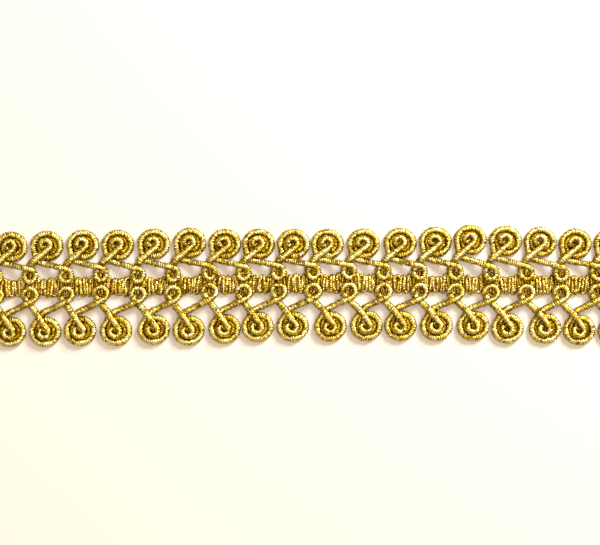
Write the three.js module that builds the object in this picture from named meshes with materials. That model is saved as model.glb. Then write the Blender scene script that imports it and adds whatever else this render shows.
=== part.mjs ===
// A cut length of metallic gimp braid, lying flat. Two wrapped gimp cords run along it, one for each edge.
// Each cord makes a free curl on top of its scroll, drops inside it, winds flat out to the rim, passes under its
// own lead, turns sharply there and runs in to the middle, makes a small loop and sets out for the next scroll.
// A stitched band holds both cords' small loops.
// Units are millimetres. X runs along the braid, +Y is towards the upper edge and +Z points up.
// The braid lies on Z = 0 and the origin is the middle of its underside.
import * as THREE from "three";

// Driving sizes
const PITCH = 5.9; // one scroll to the next
const CORD = { foot: 0.9, crest: 0.56, height: 0.84 }; // a scroll's rim: width below, width above, height
const SQUASH = 0.91; // a scroll is this much shorter across the braid than along it
const ELBOW_ROOM = 0.06; // between neighbouring rims
const TIE_ANGLE = 20; // degrees a small loop is turned past the lead that follows it
const KNEE_REACH = 0.5; // from a sharp turn to where its rounding starts
const END_STUB = 1.6; // cord left beyond the first and last crossing

// How thick the cord is pulled, as a share of its size at the rim
const TAUT = 0.82;

// Heights of the cord's underside
const LOW = 0; // lying on the surface
const HIGH = 0.82; // crossing over another stretch
const ON_LOOP = 0.94; // coming onto a small loop, over the cord that leaves it
const ON_BAND = 0.6; // a small loop, over the band
const LOOP_END = 0.03; // a small loop where its own lead crosses it

// Where a small loop comes down from its lead's height at its start, and down to its end's, as shares of its turn
const SETTLE = { from: 0, to: 0.3 };
const DIP = { from: 0.9, to: 1 };

// Heights on the straight leads by the share of the way: from the knee to the small loop, and from there to the
// bend towards the scroll
const LEAD_TO_LOOP = [
  { share: 0.24, under: LOW },
  { share: 0.7, under: ON_LOOP },
];
const LEAD_TO_BEND = [
  { share: 0.45, under: LOOP_END },
  { share: 0.8, under: LOOP_END },
];

// Heights round each sharp turn: where the lead bends over the end of the rim, and where that end turns
const OVER = [0.14, 0.68, HIGH];
const BENEATH = [LOW, LOW, LOW];

// The two edges. "scrollOut" and "loopOut" are how far out the middles of scrolls and small loops lie from the
// line on which the loops meet. "loop" is a loop's radius along the braid and "loopTall" the share of it across.
// "curl" and "rim" are a scroll's radii. "bend" is where the cord turns towards the scroll, to pass over the end of
// its rim, and "knee" where that end turns, both from the scroll's middle.
const EDGES = {
  upper: {
    side: 1,
    scrollOut: 6.55,
    loopOut: 1.64,
    loop: 0.92,
    loopTall: 1.16,
    curl: 0.72,
    rim: 2.3,
    bend: { along: -2.45, out: -2.8 },
    knee: { along: -1.8, out: -2.6 },
  },
  lower: {
    side: -1,
    scrollOut: 7.45,
    loopOut: 1.62,
    loop: 1.12,
    loopTall: 1,
    curl: 0.72,
    rim: 2.28,
    bend: { along: -1.2, out: -2.72 },
    knee: { along: -0.6, out: -2.9 },
  },
};

// How each repeat lies beside the regular pitch: along the braid and across it, or outwards for the scrolls.
const REPEATS = [
  { tie: { along: 0.53, up: -0.51 }, upper: { along: 0.05, out: -0.44 }, lower: { along: -0.1, out: 0.64 } },
  { tie: { along: 0.53, up: -0.51 }, upper: { along: 0.1, out: -0.44 }, lower: { along: -0.07, out: 0.64 } },
  { tie: { along: 0.4, up: -0.34 }, upper: { along: 0.23, out: -0.26 }, lower: { along: -0.09, out: 0.64 } },
  { tie: { along: 0.54, up: -0.27 }, upper: { along: 0.37, out: -0.1 }, lower: { along: -0.1, out: 0.47 } },
  { tie: { along: 0.52, up: -0.07 }, upper: { along: 0.34, out: -0.1 }, lower: { along: 0.03, out: 0.47 } },
  { tie: { along: 0.82, up: -0.26 }, upper: { along: 0.47, out: 0.07 }, lower: { along: 0.47, out: 0.26 } },
  { tie: { along: 0.8, up: -0.07 }, upper: { along: 0.6, out: 0.24 }, lower: { along: 0.43, out: 0.39 } },
  { tie: { along: 1.01, up: 0.25 }, upper: { along: 0.58, out: 0.07 }, lower: { along: 0.57, out: 0.13 } },
  { tie: { along: 0.82, up: 0.16 }, upper: { along: 0.37, out: 0.07 }, lower: { along: 0.2, out: -0.2 } },
  { tie: { along: 0.77, up: 0.27 }, upper: { along: 0.34, out: 0.07 }, lower: { along: 0.17, out: -0.25 } },
  { tie: { along: 0.66, up: 0.34 }, upper: { along: 0.13, out: 0.07 }, lower: { along: 0.63, out: -0.25 } },
  { tie: { along: 0.79, up: 0.37 }, upper: { along: 0.27, out: 0.07 }, lower: { along: 0.77, out: -0.37 } },
  { tie: { along: 0.66, up: 0.34 }, upper: { along: 0.53, out: 0.24 }, lower: { along: 0.57, out: -0.37 } },
  { tie: { along: 0.81, up: 0.26 }, upper: { along: 0.53, out: 0.41 }, lower: { along: 0.71, out: -0.37 } },
  { tie: { along: 0.93, up: 0.26 }, upper: { along: 0.5, out: 0.74 }, lower: { along: 1.01, out: -0.37 } },
  { tie: { along: 1, up: 0.08 }, upper: { along: 0.51, out: 0.57 }, lower: { along: 0.85, out: 0.06 } },
  { tie: { along: 1.02, up: 0.1 }, upper: { along: 0.44, out: 0.41 }, lower: { along: 1.27, out: 0.06 } },
  { tie: { along: 0.92, up: -0.01 }, upper: { along: 0.41, out: 0.07 }, lower: { along: 1.08, out: 0.3 } },
  { tie: { along: 1.14, up: 0.16 }, upper: { along: 0.37, out: 0.07 }, lower: { along: 1.04, out: 0.47 } },
];

// A scroll's course, by the angle turned from +X about its middle. "open" is the share of the way out from the
// curl's radius to the rim's. Under the curl the cord lies flat and small.
const SCROLL_COURSE = [
  { angle: -90, open: 0, under: HIGH, girth: TAUT },
  { angle: 10, open: 0, under: HIGH, girth: TAUT },
  { angle: 90, open: 0.25, under: HIGH, girth: TAUT },
  { angle: 150, open: 0.22, under: HIGH, girth: TAUT },
  { angle: 190, open: 0.14, under: 0.56, girth: TAUT },
  { angle: 235, open: -0.05, under: LOW, girth: TAUT },
  { angle: 300, open: 0.2, under: LOW, girth: 0.7 },
  { angle: 370, open: 0.46, under: LOW, girth: 0.52 },
  { angle: 565, open: 0.47, under: LOW, girth: 0.52 },
  { angle: 630, open: 0.72, under: LOW, girth: 0.75 },
  { angle: 660, open: 0.88, under: LOW, girth: 0.9 },
  { angle: 695, open: 1, under: LOW, girth: 1 },
  { angle: 880, open: 1, under: LOW, girth: 1 },
  { angle: 960, open: 1, under: LOW, girth: 0.86 },
];
const TURNS = 3;
const SCROLL_STEPS = 31;
const LOOP_STEPS = 9;

// The stitched band: its web runs under the small loops, and a cluster of stitches stands between each two.
const BAND = {
  web: { up: -0.15, half: 1.05, top: 0.3 }, // "up" is its middle, beside the line on which the loops meet
  cluster: { up: -0.42, half: 1.6, top: 1.0 },
  clusterFrom: 1.65, // clear of the loops on either side
  rib: 0.16, // how deep the stitches' ridges are
  ribs: 3,
  ribMargin: 0.55, // from a cluster's end to its first rib, in half ribs
  overhang: 1.4, // beyond the first and last loop
};

// The band's profile, as shares of its half width and height: flat below, rounded shoulders, crowned above
const BAND_PROFILE = [
  { across: 0.86, up: 0 },
  { across: 1, up: 0.42 },
  { across: 0.62, up: 0.9 },
  { across: 0, up: 1 },
  { across: -0.62, up: 0.9 },
  { across: -1, up: 0.42 },
  { across: -0.86, up: 0 },
];

const FINISH = { color: 0xc9a227, roughness: 0.34, metalness: 0.9 };
const BAND_FINISH = { color: 0xb08a1c, roughness: 0.42, metalness: 0.85 };

const degrees = THREE.MathUtils.degToRad;
const lerp = THREE.MathUtils.lerp;
const between = (a, b, share) => ({ x: lerp(a.x, b.x, share), y: lerp(a.y, b.y, share) });
const evenly = (from, to, count) => Array.from({ length: count + 1 }, (_, n) => lerp(from, to, n / count));

// The row of a table for an angle between two of its rows.
function rowAt(rows, angle) {
  const after = rows.findIndex((row) => row.angle >= angle);
  const [from, to] = [rows[after - 1], rows[after]];
  const share = (angle - from.angle) / (to.angle - from.angle);
  return Object.fromEntries(Object.keys(from).map((column) => [column, lerp(from[column], to[column], share)]));
}

// The table's row for repeat i. Beyond the ends the first or last row repeats.
const repeat = (i) => REPEATS[THREE.MathUtils.clamp(i, 0, REPEATS.length - 1)];

// Where the small loops before scroll i meet.
function tieSpot(i) {
  const { along, up } = repeat(i).tie;
  return { x: (i - REPEATS.length / 2) * PITCH + along, y: up };
}

// The middle of scroll i. Here and below, an edge's own Y points outwards, so that the lower one is mirrored.
function scrollSpot(edge, i) {
  const { along, out } = repeat(i)[edge];
  return { x: (i - (REPEATS.length - 1) / 2) * PITCH + along, y: EDGES[edge].scrollOut + out };
}

// A place beside the middle of scroll i, nearer to it where the scroll lies nearer to the ties.
function besideScroll(edge, i, { along, out }) {
  const { x, y } = scrollSpot(edge, i);
  const room = (y - EDGES[edge].side * tieSpot(i).y) / EDGES[edge].scrollOut;
  return { x: x + along, y: y + out * room };
}
const bendSpot = (edge, i) => besideScroll(edge, i, EDGES[edge].bend);
const kneeSpot = (edge, i) => besideScroll(edge, i, EDGES[edge].knee);

// The middle of the small loop before scroll i.
function loopSpot(edge, i) {
  const { x, y } = tieSpot(i);
  return { x, y: EDGES[edge].side * y + EDGES[edge].loopOut };
}

// A rim keeps clear of its neighbours.
function rimRadius(edge, i) {
  const here = scrollSpot(edge, i);
  const room = [i - 1, i + 1].map((beside) => {
    const spot = scrollSpot(edge, beside);
    return Math.hypot(spot.x - here.x, spot.y - here.y) / 2 - CORD.foot / 2 - ELBOW_ROOM;
  });
  return Math.min(EDGES[edge].rim, ...room);
}

// The heading, in degrees, from one spot to the next where one of them is a circle that the stretch touches.
function heading(from, to, reach, turn) {
  const [dx, dy] = [to.x - from.x, to.y - from.y];
  const bearing = Math.atan2(dy, dx);
  return THREE.MathUtils.radToDeg(bearing + turn * Math.asin(reach / Math.hypot(dx, dy)));
}

// Headings at a small loop, of the lead that comes to it and of the one that leaves it, and into the curl.
const toLoop = (edge, i) => heading(kneeSpot(edge, i - 1), loopSpot(edge, i), EDGES[edge].loop, 1);
const fromLoop = (edge, i) => heading(loopSpot(edge, i), bendSpot(edge, i), EDGES[edge].loop, -1);
const toCurl = (edge, i) => heading(bendSpot(edge, i), scrollSpot(edge, i), EDGES[edge].curl, -1);

// The angle at which the cord leaves the rim, straight for the knee. Unsquashed, the rim is a circle.
function rimEnd(edge, i) {
  const [middle, knee] = [scrollSpot(edge, i), kneeSpot(edge, i)];
  const [along, tall] = [knee.x - middle.x, (knee.y - middle.y) / SQUASH];
  const bearing = Math.atan2(tall, along) - Math.acos(rimRadius(edge, i) / Math.hypot(along, tall));
  return THREE.MathUtils.radToDeg(bearing) + TURNS * 360;
}

const stop = ({ x, y }, under, girth) => ({ x, y, under, girth });
const around = (middle, radius, tall, angle) => ({
  x: middle.x + radius * Math.cos(degrees(angle)),
  y: middle.y + tall * radius * Math.sin(degrees(angle)),
});

// The small loop before scroll i: in over the top of its own end, round over the band, and out underneath.
function loopStops(edge, i) {
  const { loop, loopTall } = EDGES[edge];
  const start = toLoop(edge, i) + 90;
  const end = fromLoop(edge, i) + TIE_ANGLE + 90 - 360;
  return evenly(0, 1, LOOP_STEPS).map((share) => {
    const over = (ON_LOOP - ON_BAND) * (1 - THREE.MathUtils.smoothstep(share, SETTLE.from, SETTLE.to));
    const sunk = (ON_BAND - LOOP_END) * THREE.MathUtils.smoothstep(share, DIP.from, DIP.to);
    const spot = around(loopSpot(edge, i), loop, loopTall, lerp(start, end, share));
    return stop(spot, ON_BAND + over - sunk, TAUT);
  });
}

// Scroll i: a free curl on top, down inside it, and flat out to the rim.
function scrollStops(edge, i) {
  return evenly(toCurl(edge, i) - 90, rimEnd(edge, i), SCROLL_STEPS).map((angle) => {
    const { open, under, girth } = rowAt(SCROLL_COURSE, angle);
    const radius = lerp(EDGES[edge].curl, rimRadius(edge, i), open);
    return stop(around(scrollSpot(edge, i), radius, SQUASH, angle), under, girth);
  });
}

// A sharp turn at a spot, a little rounded, on the way from one spot to another.
function turnStops(from, spot, to, unders) {
  const share = (other) => KNEE_REACH / Math.hypot(other.x - spot.x, other.y - spot.y);
  const [start, end] = [between(spot, from, share(from)), between(spot, to, share(to))];
  return evenly(0, 1, unders.length - 1).map((along, n) => {
    const place = between(between(start, spot, along), between(spot, end, along), along);
    return stop(place, unders[n], TAUT);
  });
}

// Stops on the straight way from one stop to the next, at the given shares of the way.
const onTheWay = (from, to, rows) => rows.map(({ share, under }) => stop(between(from, to, share), under, TAUT));

// A stop a stub's length beyond another.
function stub(from, angle, length, under) {
  const [x, y] = [from.x + length * Math.cos(degrees(angle)), from.y + length * Math.sin(degrees(angle))];
  return stop({ x, y }, under, TAUT);
}

// The whole course of one edge's cord, from cut end to cut end.
function cordCourse(edge) {
  const course = [];
  for (let i = 0; i <= REPEATS.length; i += 1) {
    const loop = loopStops(edge, i);
    if (i === 0) {
      course.push(stub(loop[0], toLoop(edge, i), -END_STUB, ON_LOOP));
    } else {
      course.push(...turnStops(course.at(-1), kneeSpot(edge, i - 1), loop[0], BENEATH));
      course.push(...onTheWay(course.at(-1), loop[0], LEAD_TO_LOOP));
    }
    course.push(...loop);
    if (i === REPEATS.length) {
      course.push(stub(loop.at(-1), fromLoop(edge, i), END_STUB, LOW));
    } else {
      const scroll = scrollStops(edge, i);
      const bend = turnStops(loop.at(-1), bendSpot(edge, i), scroll[0], OVER);
      course.push(...onTheWay(loop.at(-1), bend[0], LEAD_TO_BEND));
      course.push(...bend);
      course.push(...scroll);
    }
  }
  return course.map(({ x, y, under, girth }) => ({ x, y: EDGES[edge].side * y, under, girth }));
}

// A closed skin over rings of points, each ring counter-clockwise when seen from the end of the run.
function loft(rings) {
  const size = rings[0].length;
  const index = [];
  for (let r = 0; r + 1 < rings.length; r += 1) {
    for (let s = 0; s < size; s += 1) {
      const here = r * size + s;
      const beside = r * size + ((s + 1) % size);
      index.push(here, beside, beside + size, here, beside + size, here + size);
    }
  }
  const last = (rings.length - 1) * size;
  for (let s = 1; s + 1 < size; s += 1) {
    index.push(0, s + 1, s, last, last + s, last + s + 1);
  }
  const geometry = new THREE.BufferGeometry();
  geometry.setAttribute("position", new THREE.Float32BufferAttribute(rings.flat(2), 3));
  geometry.setIndex(index);
  geometry.computeVertexNormals();
  return geometry;
}

// The cord's section stands upright all along its course, so that its foot lies flat on the surface.
function cordGeometry(course) {
  const section = [
    { across: -CORD.foot / 2, up: 0 },
    { across: CORD.foot / 2, up: 0 },
    { across: CORD.crest / 2, up: CORD.height },
    { across: -CORD.crest / 2, up: CORD.height },
  ];
  const rings = course.map(({ x, y, under, girth }, n) => {
    const ahead = course[Math.min(n + 1, course.length - 1)];
    const behind = course[Math.max(n - 1, 0)];
    const across = new THREE.Vector2(behind.y - ahead.y, ahead.x - behind.x).normalize();
    return section.map((corner) => [
      x + across.x * corner.across * girth,
      y + across.y * corner.across * girth,
      under + corner.up * girth,
    ]);
  });
  return loft(rings);
}

// One cross-section of the band.
const bandSection = (x, y, half, top) =>
  BAND_PROFILE.map(({ across, up }) => [x, y + across * half, up * top]);

// The band along the whole braid: thin under the loops, with a ribbed cluster of stitches between them.
function bandGeometry() {
  const ties = Array.from({ length: REPEATS.length + 1 }, (_, i) => tieSpot(i));
  const [first, last] = [ties[0], ties.at(-1)];
  const web = (x, y) => bandSection(x, y + BAND.web.up, BAND.web.half, BAND.web.top);
  const cluster = (x, y, sunk) =>
    bandSection(x, y + BAND.cluster.up, BAND.cluster.half - sunk, BAND.cluster.top - sunk);
  const rings = [web(first.x - BAND.overhang, first.y)];
  ties.slice(1).forEach((to, i) => {
    const from = ties[i];
    const [start, end] = [from.x + BAND.clusterFrom, to.x - BAND.clusterFrom];
    const yAt = (x) => THREE.MathUtils.mapLinear(x, from.x, to.x, from.y, to.y);
    const stations = BAND.ribs * 2 - 1;
    rings.push(web(start, yAt(start)));
    for (let s = 0; s < stations; s += 1) {
      const x = lerp(start, end, (s + BAND.ribMargin) / (stations - 1 + 2 * BAND.ribMargin));
      rings.push(cluster(x, yAt(x), s % 2 === 0 ? 0 : BAND.rib));
    }
    rings.push(web(end, yAt(end)));
  });
  rings.push(web(last.x + BAND.overhang, last.y));
  return loft(rings);
}

function mesh(name, geometry, finish) {
  const made = new THREE.Mesh(geometry, new THREE.MeshStandardMaterial(finish));
  made.name = name;
  return made;
}

const braid = new THREE.Group();
for (const edge of Object.keys(EDGES)) {
  braid.add(mesh(`${edge}_gimp_cord`, cordGeometry(cordCourse(edge)), FINISH));
}
braid.add(mesh("stitched_band", bandGeometry(), BAND_FINISH));

// The origin goes to the middle of the underside.
const middle = new THREE.Box3().setFromObject(braid).getCenter(new THREE.Vector3());
braid.children.forEach(({ geometry }) => geometry.translate(-middle.x, -middle.y, 0));

export default braid;
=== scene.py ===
"""The looks of a cut length of metallic gimp braid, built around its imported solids.

The courses of both cords and of the band repeat the part's own named sizes and tables, in millimetres, and
are turned to metres as each mesh is made.
"""

import math

import bpy
import numpy as np
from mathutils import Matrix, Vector


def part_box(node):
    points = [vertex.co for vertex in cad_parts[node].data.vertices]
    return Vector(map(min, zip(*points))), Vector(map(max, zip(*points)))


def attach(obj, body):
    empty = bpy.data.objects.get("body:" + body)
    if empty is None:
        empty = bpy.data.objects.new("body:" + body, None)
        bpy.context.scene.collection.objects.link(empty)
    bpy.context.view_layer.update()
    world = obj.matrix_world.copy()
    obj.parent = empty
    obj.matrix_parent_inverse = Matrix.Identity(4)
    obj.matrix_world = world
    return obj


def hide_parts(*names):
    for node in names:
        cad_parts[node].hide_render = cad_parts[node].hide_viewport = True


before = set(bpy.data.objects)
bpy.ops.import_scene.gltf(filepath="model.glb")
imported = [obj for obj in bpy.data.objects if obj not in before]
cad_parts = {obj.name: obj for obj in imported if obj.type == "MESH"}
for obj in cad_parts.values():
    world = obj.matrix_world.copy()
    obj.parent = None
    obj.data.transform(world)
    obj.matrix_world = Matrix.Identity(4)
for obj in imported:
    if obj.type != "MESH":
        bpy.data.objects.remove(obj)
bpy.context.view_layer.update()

MM = 0.001

# The part's driving sizes
PITCH = 5.9
FOOT = 0.9
SQUASH = 0.91
ELBOW_ROOM = 0.06
TIE_ANGLE = 20
KNEE_REACH = 0.5
END_STUB = 1.6
LOW, HIGH, ON_LOOP, ON_BAND, LOOP_END = 0.0, 0.82, 0.94, 0.6, 0.03
SETTLE = (0, 0.3)
DIP = (0.9, 1)
LEAD_TO_LOOP = [(0.24, LOW), (0.7, ON_LOOP)]
LEAD_TO_BEND = [(0.45, LOOP_END), (0.8, LOOP_END)]
OVER = (0.14, 0.68, HIGH)
BENEATH = (LOW, LOW, LOW)
EDGES = {
    "upper": dict(
        side=1,
        scroll_out=6.55,
        loop_out=1.64,
        loop=0.92,
        loop_tall=1.16,
        curl=0.72,
        rim=2.3,
        bend=(-2.45, -2.8),
        knee=(-1.8, -2.6),
    ),
    "lower": dict(
        side=-1,
        scroll_out=7.45,
        loop_out=1.62,
        loop=1.12,
        loop_tall=1,
        curl=0.72,
        rim=2.28,
        bend=(-1.2, -2.72),
        knee=(-0.6, -2.9),
    ),
}

# Each repeat beside the regular pitch: the tie along and up, then each edge's scroll along and out
REPEATS = [
    (0.53, -0.51, 0.05, -0.44, -0.1, 0.64),
    (0.53, -0.51, 0.1, -0.44, -0.07, 0.64),
    (0.4, -0.34, 0.23, -0.26, -0.09, 0.64),
    (0.54, -0.27, 0.37, -0.1, -0.1, 0.47),
    (0.52, -0.07, 0.34, -0.1, 0.03, 0.47),
    (0.82, -0.26, 0.47, 0.07, 0.47, 0.26),
    (0.8, -0.07, 0.6, 0.24, 0.43, 0.39),
    (1.01, 0.25, 0.58, 0.07, 0.57, 0.13),
    (0.82, 0.16, 0.37, 0.07, 0.2, -0.2),
    (0.77, 0.27, 0.34, 0.07, 0.17, -0.25),
    (0.66, 0.34, 0.13, 0.07, 0.63, -0.25),
    (0.79, 0.37, 0.27, 0.07, 0.77, -0.37),
    (0.66, 0.34, 0.53, 0.24, 0.57, -0.37),
    (0.81, 0.26, 0.53, 0.41, 0.71, -0.37),
    (0.93, 0.26, 0.5, 0.74, 1.01, -0.37),
    (1, 0.08, 0.51, 0.57, 0.85, 0.06),
    (1.02, 0.1, 0.44, 0.41, 1.27, 0.06),
    (0.92, -0.01, 0.41, 0.07, 1.08, 0.3),
    (1.14, 0.16, 0.37, 0.07, 1.04, 0.47),
]
COUNT = len(REPEATS)

# A scroll's course by angle: how far open from the curl to the rim, underside, width, height, painted light and
# shade
SCROLL_COURSE = np.array(
    [
        (-90, 0, HIGH, 1, 0.88, 1.1),
        (10, 0, HIGH, 0.84, 0.86, 1),
        (90, 0.22, HIGH, 0.8, 0.86, 1),
        (150, 0.2, HIGH, 0.84, 0.86, 1),
        (190, 0.12, 0.56, 0.84, 0.84, 0.9),
        # Past the curl the cord runs low beneath it, painted dark as if in the shade of the curl and rim
        (220, -0.05, 0.25, 0.95, 0.8, 0.4),
        (240, -0.82, LOW, 1, 0.6, 0.15),
        (278, -0.82, LOW, 1, 0.55, 0.15),
        (300, 0.45, LOW, 1, 0.55, 0.25),
        (325, 0.48, LOW, 0.94, 0.5, 0.25),
        (370, 0.46, LOW, 0.9, 0.5, 0.25),
        (575, 0.46, LOW, 0.9, 0.5, 0.25),
        (605, 0.8, LOW, 0.95, 0.7, 0.5),
        (630, 0.95, LOW, 1.05, 0.8, 0.65),
        (660, 1, LOW, 1.06, 0.9, 0.8),
        (695, 1, LOW, 1, 1, 1),
        (880, 1, LOW, 1, 1, 1),
        (960, 1, LOW, 0.86, 0.9, 0.95),
    ]
)
TURNS = 3

# The visible cord away from the scrolls: width and height as shares of its size at the rim, then painted light
# and shade
LOOKS = {
    "upper": dict(loop=(0.88, 0.9, 0.95), inward=(0.96, 0.9, 0.85), outward=(1.2, 0.95, 1.15)),
    "lower": dict(loop=(0.86, 0.9, 0.95), inward=(1.02, 0.92, 0.85), outward=(1.06, 0.92, 1.0)),
}

# The visible cord: half its width and height at the rim, and how far its rim lies inside the solid's
CORD_HALF_WIDTH = 0.5
CORD_HALF_HEIGHT = 0.45
RIM_IN = 0.05

# A wrapped yarn: rings of vertices to a wrap, wraps side by side, sides of its section and depth of a groove
CORD_WRAP = dict(rings=5, starts=2, sides=12, depth=0.17)
STITCH_WRAP = dict(rings=4, starts=2, sides=10, depth=0.24)
CORD_RING_STEP = 0.37 / CORD_WRAP["rings"]
STITCH_RING_STEP = 0.09
CORD_PIECES = 2
# Lengths over which a cord's course, height and looks are evened out, and the step at which it's done
EVEN_COURSE, EVEN_HEIGHT, EVEN_LOOKS, EVEN_STITCH = 0.35, 0.8, 0.9, 0.3
FINE_STEP = 0.02
# How much a wrap and a patch of wraps stand out from the rest, and where a groove is level with the yarn
WRAP_LIFT, PATCH_LIFT, LEVEL = 0.05, 0.06, 0.6
# A wrap's painted light on top: the sine round the yarn from which it brightens, and over how much more
TOP_FROM, TOP_OVER = 0.12, 0.72
# Least tone at a wrap's edge and in its groove (painted shade), where it's dull, away from its painted glint,
# and least crown
SHADED_SIDE_TONE, SHADED_GROOVE_TONE, DULL_TONE, UNGLINTED_TONE, LEAST_CROWN = 0.1, 0.62, 0.28, 0.35, 0.35
# Each wrap's and each patch's brightness and how much it differs at random, and how far its painted glint
# strays
WRAP_BRIGHT, PATCH_BRIGHT = (0.55, 0.4), (0.95, 0.55)
PATCH_RANGE = (0.25, 2.2)
GLINT_STRAY = 0.55

# The visible band
WEB = dict(up=-0.15, half=1.05, top=0.3)
CLUSTER = dict(up=-0.42, half=1.6, top=1.0)
CLUSTER_FROM = 1.65
CLUSTER_EASE = (-0.55, 0.15)
OVERHANG = 1.4
# The ground under the stitches, dark as painted shade: its half section as shares of half its width and of its
# height
GROUND_HALF = [(0.86, 0), (0.96, 0.3), (0.7, 0.62), (0.35, 0.72), (0, 0.74)]
GROUND_INSET = 0.1
GROUND_NARROWER = 0.2
GROUND_LOWER = 0.75
GROUND_SECTIONS = 520
CLUSTER_STITCHES = 5
STITCH_STEP = 0.55
STITCH_RADIUS = 0.27
STITCH_FLATNESS = 0.95
STITCH_CLEAR = 0.02
STITCH_POINTS = 13
STITCH_SQUARENESS = 0.8
STITCH_FADE = 0.12
# How the stitches differ at random
CLUSTER_STRAY, LOOP_STRAY = 0.1, 0.05
CLUSTER_GLOW = (0.8, 1.3)
SIDE_STRAY = (-0.3, 0.16)
TOP_STRAY = (-0.15, 0.05)
LEAN = 0.2
BOW = 0.14
RADIUS_STRAY, RADIUS_EVEN = 0.5, 9
# Stitches under the small loops: along from the tie, reach to each side and tone, painted darker as the loops'
# shade
UNDER_LOOPS = [
    (-1.4, 1.3, 0.8),
    (-0.95, 1.2, 0.7),
    (-0.48, 1.85, 0.6),
    (0, 2.05, 0.6),
    (0.48, 1.85, 0.6),
    (0.95, 1.2, 0.7),
    (1.4, 1.3, 0.8),
]

# The photo's frame: its width, its scale at SCALE_HEIGHT, and the spot of the source that it centres on
FRAME_W = 600
PX_PER_MM = 5.966
SCALE_HEIGHT = 0.8
VIEW_SPOT = (1.425, 1.84)
LENS = 90.0
SENSOR = 36.0

# Metallised yarn: what each share adds to its colour's place on the ramp, and its patches' and grain's sizes
TONE_SHARE, FACET_SHARE, PATCH_SHARE, DARKEN = 0.58, 0.56, 0.3, -0.18
# The level at the yarn's edges and what its top adds: painted shade on the sides, painted light on top
SHADED_EDGE_LEVEL, LIT_TOP_GAIN = 0.28, 0.78
PATCH_SIZE, GRAIN_SIZE = 1.2, 0.18
FACET_ROUGH = (0.22, 0.55)
GOLD_TINT = (0.7, 0.56, 0.14, 1)

# Floor and light, in metres
FLOOR_HALF = 0.6
FLOOR_DROP = 0.00002
FLOOR_COLOUR = (0.94, 0.905, 0.865, 1)
LIGHTS = [
    dict(name="key", spot=(0.275, 0.325, 0.25), size=0.18, power=2.9, colour=(0.95, 1, 1)),
    dict(name="overhead", spot=(0.05, 0.05, 0.7), size=0.6, power=2.4, colour=(1, 0.86, 0.7)),
]
SURROUND_COLOUR = (1, 0.78, 0.55, 1)
SURROUND_STRENGTH = 0.38

rng = np.random.default_rng(20)


# The part's courses


def smoothstep(t, a, b):
    t = min(max((t - a) / (b - a), 0.0), 1.0)
    return t * t * (3 - 2 * t)


def row(i):
    return REPEATS[min(max(i, 0), COUNT - 1)]


def tie_spot(i):
    return np.array([(i - COUNT / 2) * PITCH + row(i)[0], row(i)[1]])


def scroll_spot(edge, i):
    along, out = row(i)[2:4] if edge == "upper" else row(i)[4:6]
    return np.array([(i - (COUNT - 1) / 2) * PITCH + along, EDGES[edge]["scroll_out"] + out])


def beside_scroll(edge, i, along, out):
    """A place beside a scroll's middle, nearer to it where the scroll lies nearer to the ties."""
    x, y = scroll_spot(edge, i)
    room = (y - EDGES[edge]["side"] * tie_spot(i)[1]) / EDGES[edge]["scroll_out"]
    return np.array([x + along, y + out * room])


def bend_spot(edge, i):
    return beside_scroll(edge, i, *EDGES[edge]["bend"])


def knee_spot(edge, i):
    return beside_scroll(edge, i, *EDGES[edge]["knee"])


def loop_spot(edge, i):
    x, y = tie_spot(i)
    return np.array([x, EDGES[edge]["side"] * y + EDGES[edge]["loop_out"]])


def rim_radius(edge, i):
    here = scroll_spot(edge, i)
    gaps = [np.linalg.norm(scroll_spot(edge, j) - here) / 2 for j in (i - 1, i + 1)]
    return min(EDGES[edge]["rim"], *(gap - FOOT / 2 - ELBOW_ROOM for gap in gaps))


def heading(a, b, reach, turn):
    """The angle of a line that leaves a and touches the circle of radius reach round b, or the reverse."""
    d = b - a
    return math.degrees(math.atan2(d[1], d[0]) + turn * math.asin(reach / np.linalg.norm(d)))


def to_loop(edge, i):
    return heading(knee_spot(edge, i - 1), loop_spot(edge, i), EDGES[edge]["loop"], 1)


def from_loop(edge, i):
    return heading(loop_spot(edge, i), bend_spot(edge, i), EDGES[edge]["loop"], -1)


def to_curl(edge, i):
    return heading(bend_spot(edge, i), scroll_spot(edge, i), EDGES[edge]["curl"], -1)


def rim_end(edge, i):
    """The angle at which the cord leaves the rim, straight for the knee."""
    along, out = knee_spot(edge, i) - scroll_spot(edge, i)
    tall = out / SQUASH
    bearing = math.atan2(tall, along) - math.acos(rim_radius(edge, i) / math.hypot(along, tall))
    return math.degrees(bearing) + TURNS * 360


def around(middle, radius, tall, angle):
    a = math.radians(angle)
    return middle[0] + radius * math.cos(a), middle[1] + tall * radius * math.sin(a)


# A point of a course is its place along, out and up to the cord's underside, then its width, height and painted
# shade


def loop_points(edge, i, steps=30):
    start = to_loop(edge, i) + 90
    end = from_loop(edge, i) + TIE_ANGLE + 90 - 360
    middle = loop_spot(edge, i)
    out = []
    for share in np.linspace(0, 1, steps + 1):
        over = (ON_LOOP - ON_BAND) * (1 - smoothstep(share, *SETTLE))
        sunk = (ON_BAND - LOOP_END) * smoothstep(share, *DIP)
        x, y = around(middle, EDGES[edge]["loop"], EDGES[edge]["loop_tall"], start + (end - start) * share)
        out.append((x, y, ON_BAND + over - sunk, *LOOKS[edge]["loop"]))
    return out


def scroll_points(edge, i, step=5.0):
    curl, rim, middle = EDGES[edge]["curl"], rim_radius(edge, i) - RIM_IN, scroll_spot(edge, i)
    start, end = to_curl(edge, i) - 90, rim_end(edge, i)
    out = []
    for angle in np.linspace(start, end, int((end - start) / step)):
        spread, *rest = (np.interp(angle, SCROLL_COURSE[:, 0], SCROLL_COURSE[:, c]) for c in range(1, 6))
        out.append((*around(middle, curl + (rim - curl) * spread, SQUASH, angle), *rest))
    return out


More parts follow.
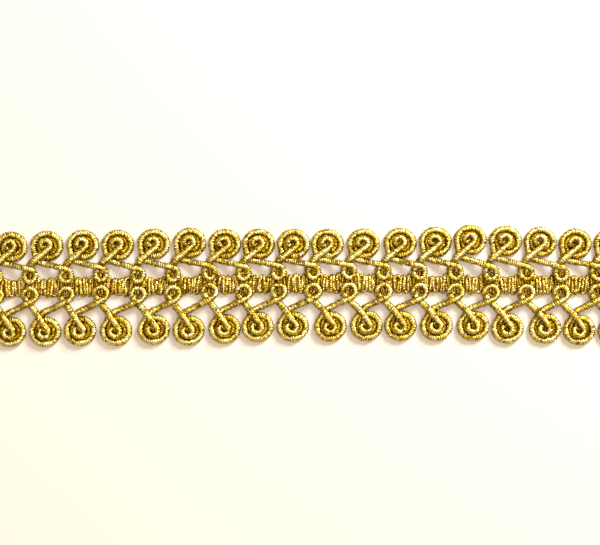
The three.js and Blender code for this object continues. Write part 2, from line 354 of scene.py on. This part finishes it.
def turn_points(a, spot, b, unders, looks, steps=6):
    """A sharp turn at a spot, a little rounded."""
    start, end = (spot + (np.array(p[:2]) - spot) * KNEE_REACH / np.linalg.norm(spot - p[:2]) for p in (a, b))
    out = []
    for t in np.linspace(0, 1, steps + 1):
        x, y = (1 - t) ** 2 * start + 2 * t * (1 - t) * spot + t * t * end
        out.append((x, y, float(np.interp(t, (0, 0.5, 1), unders)), *looks))
    return out


def lead_points(a, b, stops, looks, steps=14):
    """A straight lead between two points, its underside at the stops' heights."""
    shares = [0.0] + [s for s, _ in stops] + [1.0]
    unders = [a[2]] + [u for _, u in stops] + [b[2]]
    out = []
    for share in np.linspace(0, 1, steps + 2)[1:-1]:
        x, y = (a[n] + (b[n] - a[n]) * share for n in (0, 1))
        out.append((x, y, float(np.interp(share, shares, unders)), *looks))
    return out


def stub(a, angle, length, under, looks):
    r = math.radians(angle)
    return a[0] + length * math.cos(r), a[1] + length * math.sin(r), under, *looks


def cord_course(edge):
    inward, outward = LOOKS[edge]["inward"], LOOKS[edge]["outward"]
    course = []
    for i in range(COUNT + 1):
        loop = loop_points(edge, i)
        if i == 0:
            course.append(stub(loop[0], to_loop(edge, i), -END_STUB, ON_LOOP, inward))
        else:
            course += turn_points(course[-1], knee_spot(edge, i - 1), loop[0], BENEATH, inward)
            course += lead_points(course[-1], loop[0], LEAD_TO_LOOP, inward)
        course += loop
        if i == COUNT:
            course.append(stub(loop[-1], from_loop(edge, i), END_STUB, LOW, outward))
        else:
            scroll = scroll_points(edge, i)
            bend = turn_points(loop[-1], bend_spot(edge, i), scroll[0], OVER, outward)
            course += lead_points(loop[-1], bend[0], LEAD_TO_BEND, outward)
            course += bend
            course += scroll
    course = np.array(course)
    course[:, 1] *= EDGES[edge]["side"]
    return course


ties = np.array([tie_spot(i) for i in range(COUNT + 1)])


def band_line(x):
    return float(np.interp(x, ties[:, 0], ties[:, 1]))


def cluster_middle():
    """How far up the middle of the whole band's width lies, from its clusters."""
    ups = []
    for a, b in zip(ties[:-1, 0], ties[1:, 0]):
        ups += [band_line(x) + CLUSTER["up"] for x in np.linspace(a + CLUSTER_FROM, b - CLUSTER_FROM, 50)]
    return (min(ups) + max(ups)) / 2


# The solids are centred on their box, so the band's own box gives the same move.
band_low, band_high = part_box("stitched_band")
MIDDLE_X = ties[0][0] - OVERHANG - band_low.x / MM
MIDDLE_Y = cluster_middle() - (band_low.y + band_high.y) / MM / 2


# Camera


def add_camera():
    data = bpy.data.cameras.new("camera")
    data.lens = LENS
    data.sensor_width = SENSOR
    data.clip_start = 0.01
    data.clip_end = 20
    cam = bpy.data.objects.new("camera", data)
    bpy.context.scene.collection.objects.link(cam)
    away = FRAME_W / PX_PER_MM * LENS / SENSOR + SCALE_HEIGHT
    cam.location = ((VIEW_SPOT[0] - MIDDLE_X) * MM, (VIEW_SPOT[1] - MIDDLE_Y) * MM, away * MM)
    bpy.context.scene.camera = cam


add_camera()


# Wrapped yarn


def running_mean(values, length, step):
    count = int(length / step) | 1
    pad = count // 2
    padded = np.concatenate([values[:1].repeat(pad, 0), values, values[-1:].repeat(pad, 0)])
    total = np.cumsum(np.concatenate([np.zeros((1,) + values.shape[1:]), padded]), axis=0)
    return (total[count:] - total[:-count]) / count


def resample(course, step):
    """The same course with a point at every step of its length."""
    gaps = np.linalg.norm(np.diff(course[:, :3], axis=0), axis=1)
    course = course[np.concatenate([[True], gaps > 1e-6])]
    s = np.concatenate([[0], np.cumsum(np.linalg.norm(np.diff(course[:, :3], axis=0), axis=1))])
    at = np.arange(0, s[-1], step)
    return np.stack([np.interp(at, s, course[:, c]) for c in range(course.shape[1])], axis=1)


def at_least(low, share):
    """From low at 0 to 1 at 1."""
    return low + (1 - low) * share


def wrapped_yarn(points, half_w, half_h, painted_shade_and_tone, wild, first, last, rings, starts, sides, depth):
    """Vertices, faces, open ends and shades of a yarn wrapped in a helix, along evenly spaced points.

    half_w, half_h and painted_shade_and_tone are per point, the last a tone with painted light and shade, and
    wild holds three random numbers for each wrap. The grid of vertices itself runs round in the helix, so that
    a wrap's crest and groove each follow a row of vertices.
    """
    n = len(points)
    turn = starts * rings
    tangent = np.gradient(points, axis=0)
    tangent /= np.linalg.norm(tangent, axis=1)[:, None]
    across = np.stack([-tangent[:, 1], tangent[:, 0], np.zeros(n)], axis=1)
    across /= np.linalg.norm(across, axis=1)[:, None]
    upward = np.cross(tangent, across)
    i = np.arange(first, last)[:, None]
    j = np.arange(sides)[None, :]
    at = np.clip(i + turn * j / sides - turn / 2, 0, n - 1)
    lo = np.floor(at).astype(int)
    hi = np.minimum(lo + 1, n - 1)
    share = (at - lo)[..., None]

    def pick(a):
        return a[lo] * (1 - share) + a[hi] * share

    # Where each vertex stands: on its wrap's crest or groove, in a patch of wraps, and round the yarn
    crest = np.sqrt(np.abs(np.sin(np.pi * (i % rings) / rings))) + 0 * j
    wrap = ((i // rings) + 0 * j) % len(wild)
    patch = wild[((i // rings) * 5 + (j // 2) * 331) % len(wild), 0]
    angle = 2 * np.pi * j / sides + 0 * i
    round_yarn = angle[..., None]
    ridge = 1 + depth * (crest - LEVEL) + (WRAP_LIFT * wild[wrap, 0] + PATCH_LIFT * patch) * crest
    w, h = pick(half_w[:, None]), pick(half_h[:, None])
    out = pick(across) * np.cos(round_yarn) * w + pick(upward) * np.sin(round_yarn) * h
    verts = pick(points) + ridge[..., None] * out

    # Painted light and shade: most on top and on a crest, dark on the sides and in the grooves, a painted glint
    # on each wrap
    # The course's tone with painted light and shade, at each vertex
    painted_shade_and_tone = pick(painted_shade_and_tone[:, None])[..., 0]
    top = np.clip((np.sin(angle) - TOP_FROM) / TOP_OVER, 0, 1)
    spot = 0.5 + 0.5 * np.cos(angle - np.pi * (0.5 + GLINT_STRAY * wild[wrap, 1]))
    bright = np.clip(WRAP_BRIGHT[0] + WRAP_BRIGHT[1] * wild[wrap, 2], 0, 1)
    tone_and_painted_light = at_least(SHADED_SIDE_TONE, top) * at_least(SHADED_GROOVE_TONE, crest)
    tone_and_painted_light = tone_and_painted_light * at_least(DULL_TONE, bright * at_least(UNGLINTED_TONE, spot))
    tone_and_painted_light = tone_and_painted_light * np.clip(PATCH_BRIGHT[0] + PATCH_BRIGHT[1] * patch, *PATCH_RANGE) * painted_shade_and_tone
    # The crown: painted light on the yarn's top, weaker where the course is painted into shade
    crown = top * np.minimum(at_least(LEAST_CROWN, painted_shade_and_tone), 1)
    shades = np.stack([tone_and_painted_light, crown], axis=-1).reshape(-1, 2)

    ids = np.arange((last - first) * sides).reshape(last - first, sides)
    a, b = ids[:-1, :-1], ids[1:, :-1]
    c, d = ids[1:, 1:], ids[:-1, 1:]
    quads = [np.stack([a, d, c, b], axis=-1).reshape(-1, 4)]
    # The last column joins the first one a whole turn further on.
    a, b = ids[: -1 - turn, -1], ids[1:-turn, -1]
    d, c = ids[turn:-1, 0], ids[turn + 1 :, 0]
    quads.append(np.stack([a, d, c, b], axis=-1))
    start_ring = list(ids[0, :]) + list(ids[turn:0:-1, 0])
    end_ring = list(ids[-1 - turn : -1, -1]) + list(ids[-1, ::-1])
    ends = [(start_ring, False), (end_ring, False)]
    return verts.reshape(-1, 3), np.concatenate(quads), ends, shades


def make_mesh(name, verts, quads, ends, shades=None):
    """A mesh in metres from vertices in source millimetres, with a fan over each open end."""
    faces = [tuple(int(v) for v in q) for q in quads]
    for ring, flip in ends:
        centre = len(verts)
        verts = np.concatenate([verts, [verts[ring].mean(0)]])
        pairs = zip(ring, ring[1:] + ring[:1])
        faces += [(centre, b, a) if flip else (centre, a, b) for a, b in pairs]
    verts = verts - np.array([MIDDLE_X, MIDDLE_Y, 0])
    verts[:, 2] = np.maximum(verts[:, 2], 0.0)
    mesh = bpy.data.meshes.new(name)
    mesh.from_pydata((verts * MM).tolist(), [], faces)
    mesh.update()
    if shades is not None:
        shades = np.concatenate([shades, np.zeros((len(verts) - len(shades), 2))])
        # The painted light and shade go on as the points' attributes
        for column, attribute in enumerate(("tone_and_painted_light", "crown")):
            layer = mesh.attributes.new(attribute, "FLOAT", "POINT")
            layer.data.foreach_set("value", np.ascontiguousarray(shades[:, column], np.float32))
    mesh.shade_smooth()
    obj = bpy.data.objects.new(name, mesh)
    bpy.context.scene.collection.objects.link(obj)
    return obj


# Materials


def new_material(name):
    mat = bpy.data.materials.new(name)
    mat.use_nodes = True
    nodes, links = mat.node_tree.nodes, mat.node_tree.links
    return mat, nodes, links, nodes["Principled BSDF"]


def ramp(nodes, stops):
    node = nodes.new("ShaderNodeValToRGB")
    elements = node.color_ramp.elements
    while len(elements) < len(stops):
        elements.new(0.5)
    for element, (at, colour) in zip(elements, stops):
        element.position = at
        element.color = (*colour, 1)
    return node


def math_node(nodes, links, operation, *values):
    node = nodes.new("ShaderNodeMath")
    node.operation = operation
    for socket, value in zip(node.inputs, values):
        if isinstance(value, (int, float)):
            socket.default_value = value
        else:
            links.new(value, socket)
    return node.outputs[0]


def noise_node(nodes, links, place, size, detail=2):
    node = nodes.new("ShaderNodeTexNoise")
    node.inputs["Scale"].default_value = 1 / (size * MM)
    node.inputs["Detail"].default_value = detail
    links.new(place, node.inputs["Vector"])
    return node.outputs["Fac"]


def bump_node(nodes, links, shader, height, strength, distance):
    node = nodes.new("ShaderNodeBump")
    node.inputs["Strength"].default_value = strength
    node.inputs["Distance"].default_value = distance * MM
    links.new(height, node.inputs["Height"])
    links.new(node.outputs["Normal"], shader.inputs["Normal"])


def colour_ramp(nodes, links, shader, level, stops):
    colour = ramp(nodes, stops)
    links.new(level, colour.inputs["Fac"])
    links.new(colour.outputs["Color"], shader.inputs["Base Color"])


def attribute_node(nodes, name):
    node = nodes.new("ShaderNodeAttribute")
    node.attribute_name = name
    return node.outputs["Fac"]


def gold_yarn(name, stops, cell):
    """Metallised yarn: fine foil facets that differ in colour, gloss and tilt, with painted shade between the
    wraps and on the sides.
    """
    mat, nodes, links, shader = new_material(name)
    place = nodes.new("ShaderNodeTexCoord").outputs["Object"]
    facets = nodes.new("ShaderNodeTexVoronoi")
    facets.inputs["Scale"].default_value = 1 / (cell * MM)
    links.new(place, facets.inputs["Vector"])
    split = nodes.new("ShaderNodeSeparateColor")
    links.new(facets.outputs["Color"], split.inputs["Color"])
    patches = noise_node(nodes, links, place, PATCH_SIZE, detail=3)
    level = math_node(nodes, links, "MULTIPLY", split.outputs["Red"], FACET_SHARE)
    level = math_node(nodes, links, "MULTIPLY_ADD", patches, PATCH_SHARE, level)
    level = math_node(nodes, links, "MULTIPLY_ADD", attribute_node(nodes, "tone_and_painted_light"), TONE_SHARE, level)
    level = math_node(nodes, links, "ADD", level, DARKEN)
    # Painted shade at the yarn's edges and painted light on its top, from the crown
    painted_top_light = math_node(nodes, links, "MULTIPLY_ADD", attribute_node(nodes, "crown"), LIT_TOP_GAIN, SHADED_EDGE_LEVEL)
    level = math_node(nodes, links, "MULTIPLY", level, painted_top_light)
    colour_ramp(nodes, links, shader, level, stops)
    gloss = nodes.new("ShaderNodeMapRange")
    gloss.inputs["To Min"].default_value, gloss.inputs["To Max"].default_value = FACET_ROUGH
    links.new(split.outputs["Green"], gloss.inputs["Value"])
    links.new(gloss.outputs["Result"], shader.inputs["Roughness"])
    grain = noise_node(nodes, links, place, GRAIN_SIZE)
    height = math_node(nodes, links, "ADD", split.outputs["Blue"], grain)
    bump_node(nodes, links, shader, height, strength=0.8, distance=0.05)
    shader.inputs["Metallic"].default_value = 1.0
    shader.inputs["Specular Tint"].default_value = GOLD_TINT
    return mat


def band_shaded_ground():
    mat, nodes, links, shader = new_material("band_shaded_ground")
    place = nodes.new("ShaderNodeTexCoord").outputs["Object"]
    noise = noise_node(nodes, links, place, size=0.3)
    # Dark brown, painted shade between the stitches
    colour_ramp(nodes, links, shader, noise, [(0.3, (0.16, 0.08, 0.01)), (0.7, (0.5, 0.33, 0.07))])
    bump_node(nodes, links, shader, noise, strength=0.6, distance=0.06)
    shader.inputs["Metallic"].default_value = 0.6
    shader.inputs["Roughness"].default_value = 0.55
    return mat


GIMP = gold_yarn(
    "gimp_wrap",
    [
        (0.04, (0.13, 0.06, 0.0)),
        (0.2, (0.44, 0.26, 0.003)),
        (0.38, (0.74, 0.54, 0.035)),
        (0.55, (0.89, 0.79, 0.22)),
        (0.76, (0.97, 0.9, 0.44)),
    ],
    cell=0.23,
)
STITCH = gold_yarn(
    "band_stitch",
    [
        (0.04, (0.11, 0.05, 0.0)),
        (0.2, (0.42, 0.24, 0.005)),
        (0.4, (0.72, 0.49, 0.035)),
        (0.58, (0.88, 0.74, 0.18)),
        (0.78, (0.96, 0.87, 0.4)),
    ],
    cell=0.26,
)
SHADED_GROUND = band_shaded_ground()


# Cords


def add_cord(edge):
    node = f"{edge}_gimp_cord"
    course = resample(cord_course(edge), FINE_STEP)
    course[:, :2] = running_mean(course[:, :2], EVEN_COURSE, FINE_STEP)
    course[:, 2] = running_mean(course[:, 2], EVEN_HEIGHT, FINE_STEP)
    course[:, 3:] = running_mean(course[:, 3:], EVEN_LOOKS, FINE_STEP)
    course[:, 2] += CORD_HALF_HEIGHT * course[:, 4]
    course = resample(course, CORD_RING_STEP)
    points, half_w, half_h = course[:, :3], CORD_HALF_WIDTH * course[:, 3], CORD_HALF_HEIGHT * course[:, 4]
    wild = rng.normal(0, 1, (4001, 3))
    cuts = np.linspace(0, len(points), CORD_PIECES + 1).astype(int)
    cuts[1:-1] -= cuts[1:-1] % CORD_WRAP["rings"]
    for n, (first, last) in enumerate(zip(cuts[:-1], cuts[1:])):
        last = min(last + 1, len(points))
        yarn = wrapped_yarn(points, half_w, half_h, course[:, 5], wild, first, last, **CORD_WRAP)
        piece = make_mesh(f"{edge}_cord_{n + 1}", *yarn)
        piece.data.materials.append(GIMP)
        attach(piece, "root")
        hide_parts(node)


for edge in EDGES:
    add_cord(edge)


# Band


def band_sizes(x):
    """The band's middle at x, half its width and its height, as in a cluster or as under the loops."""
    ease = (CLUSTER_FROM + e for e in CLUSTER_EASE)
    share = smoothstep(np.abs(ties[:, 0] - x).min(), *ease)
    up, half, top = (WEB[k] + (CLUSTER[k] - WEB[k]) * share for k in ("up", "half", "top"))
    return band_line(x) + up, half, top


def stitch_places(x0, x1):
    """Where the yarn crosses the band, its reach and its painted shade and tone. A reach of 0 means the band's
    own width.
    """
    places = []
    spread = (np.arange(CLUSTER_STITCHES) - (CLUSTER_STITCHES - 1) / 2) * STITCH_STEP
    for centre in (ties[:-1, 0] + ties[1:, 0]) / 2:
        xs = centre + spread + rng.uniform(-CLUSTER_STRAY, CLUSTER_STRAY, CLUSTER_STITCHES)
        places += [(x, 0, rng.uniform(*CLUSTER_GLOW)) for x in xs]
    for tie in ties[:, 0]:
        for along, reach, painted_shade_and_tone in UNDER_LOOPS:
            places.append((tie + along + rng.uniform(-LOOP_STRAY, LOOP_STRAY), reach, painted_shade_and_tone))
    return sorted(p for p in places if x0 + STITCH_RADIUS <= p[0] <= x1 - STITCH_RADIUS)


def ground_mesh(x0, x1):
    profile = GROUND_HALF + [(-a, u) for a, u in reversed(GROUND_HALF[:-1])]
    size = len(profile)
    verts, quads = [], []
    for x in np.linspace(x0 + GROUND_INSET, x1 - GROUND_INSET, GROUND_SECTIONS):
        y, half, top = band_sizes(x)
        verts += [(x, y + a * (half - GROUND_NARROWER), u * top * GROUND_LOWER) for a, u in profile]
    for r in range(GROUND_SECTIONS - 1):
        for s in range(size):
            a, b = r * size + s, r * size + (s + 1) % size
            quads.append((a, b, b + size, a + size))
    first = list(range(size))
    last = list(range((GROUND_SECTIONS - 1) * size, GROUND_SECTIONS * size))
    return make_mesh("band_core", np.array(verts, float), quads, [(first, True), (last, False)])


def stitch_path(x0, x1):
    """The yarn's way to and fro across the band, one stitch after the other: place, height and painted shade
    and tone.
    """
    path = []
    low = STITCH_RADIUS + STITCH_CLEAR
    for k, (x, reach, painted_shade_and_tone) in enumerate(stitch_places(x0, x1)):
        if reach:
            y, half, top = band_line(x), reach, 0
        else:
            y, half, top = band_sizes(x)
            half += rng.uniform(*SIDE_STRAY) - STITCH_RADIUS
        crown = max(top - STITCH_RADIUS + rng.uniform(*TOP_STRAY), low)
        lean = rng.uniform(-LEAN, LEAN)
        bend = rng.uniform(-BOW, BOW)
        way = 1 if k % 2 == 0 else -1
        for a in np.linspace(-1, 1, STITCH_POINTS):
            bow = math.sqrt(max(1 - a * a, 0))
            z = low + (crown - low) * bow**STITCH_SQUARENESS
            # Each stitch grows darker towards the band's upper edge
            shade = painted_shade_and_tone * (1 - STITCH_FADE * way * a)
            path.append((x + lean * a * way + bend * bow, y + way * a * half, z, shade))
    path = running_mean(resample(np.array(path), FINE_STEP), EVEN_STITCH, FINE_STEP)
    return resample(path, STITCH_RING_STEP)


def add_band():
    x0, x1 = ties[0][0] - OVERHANG, ties[-1][0] + OVERHANG
    core = ground_mesh(x0, x1)
    core.data.materials.append(SHADED_GROUND)
    path = stitch_path(x0, x1)
    radius = STITCH_RADIUS * (1 + RADIUS_STRAY * running_mean(rng.normal(0, 1, len(path)), RADIUS_EVEN, 1))
    wild = rng.normal(0, 1, (1501, 3))
    yarn = wrapped_yarn(
        path[:, :3], radius, radius * STITCH_FLATNESS, path[:, 3], wild, 0, len(path), **STITCH_WRAP
    )
    stitches = make_mesh("band_stitches", *yarn)
    stitches.data.materials.append(STITCH)
    for piece in (core, stitches):
        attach(piece, "root")
        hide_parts("stitched_band")


add_band()


# Floor and light


def add_floor():
    mesh = bpy.data.meshes.new("floor")
    corners = [(-1, -1), (1, -1), (1, 1), (-1, 1)]
    mesh.from_pydata([(x * FLOOR_HALF, y * FLOOR_HALF, 0) for x, y in corners], [], [(0, 1, 2, 3)])
    floor = bpy.data.objects.new("floor", mesh)
    bpy.context.scene.collection.objects.link(floor)
    floor.location.z = -FLOOR_DROP
    mat, _, _, shader = new_material("floor")
    shader.inputs["Base Color"].default_value = FLOOR_COLOUR
    shader.inputs["Roughness"].default_value = 0.9
    shader.inputs["Specular IOR Level"].default_value = 0.1
    floor.data.materials.append(mat)


def add_area(name, spot, size, power, colour):
    """A round lamp that shines at the middle of the braid."""
    data = bpy.data.lights.new(name, "AREA")
    data.shape = "DISK"
    data.size = size
    data.energy = power
    data.color = colour
    light = bpy.data.objects.new(name, data)
    bpy.context.scene.collection.objects.link(light)
    light.location = spot
    light.rotation_euler = (-Vector(spot)).to_track_quat("-Z", "Y").to_euler()


add_floor()
for light in LIGHTS:
    add_area(**light)

world = bpy.data.worlds.new("surround")
bpy.context.scene.world = world
world.use_nodes = True
world.node_tree.nodes["Background"].inputs["Color"].default_value = SURROUND_COLOUR
world.node_tree.nodes["Background"].inputs["Strength"].default_value = SURROUND_STRENGTH

bpy.context.scene.view_settings.view_transform = "Standard"
bpy.context.scene.view_settings.look = "None"
bpy.context.scene.view_settings.exposure = 0
bpy.context.scene.view_settings.gamma = 1
